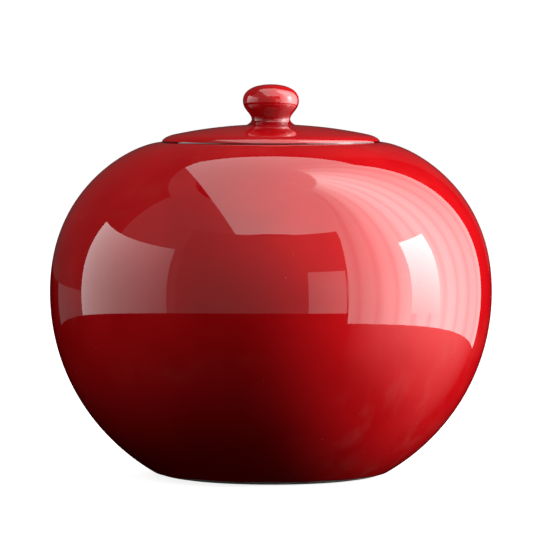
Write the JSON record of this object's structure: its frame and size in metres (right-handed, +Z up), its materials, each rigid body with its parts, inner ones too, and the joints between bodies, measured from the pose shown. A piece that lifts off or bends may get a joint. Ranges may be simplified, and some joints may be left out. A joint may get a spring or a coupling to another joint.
{
  "type": "ginger jar",
  "caption": "Squat round glazed stoneware jar with a shallow domed lift-off lid and a small waisted knob.",
  "frame": {"origin": "centre of the circle the foot ring stands on", "axes": "+Z up along the jar's axis of revolution, +X and +Y alike"},
  "size_m": [0.24, 0.24, 0.2128],
  "materials": {
    "red_glaze": "deep red transparent glaze, mirror gloss",
    "bare_clay": "dry unglazed grey stoneware"
  },
  "bodies": {
    "jar": {"foot_ring": "bare_clay", "lower_body": "red_glaze", "upper_body": "red_glaze", "mouth_gallery": "bare_clay"},
    "lid": {"lid_dome": "red_glaze", "lid_flange": "bare_clay", "lid_knob": "red_glaze"}
  },
  "joints": [
    {"name": "lid_lift", "type": "slide", "parent": "jar", "child": "lid", "axis": [0, 0, 1], "range_m": [0, 0.1]}
  ]
}
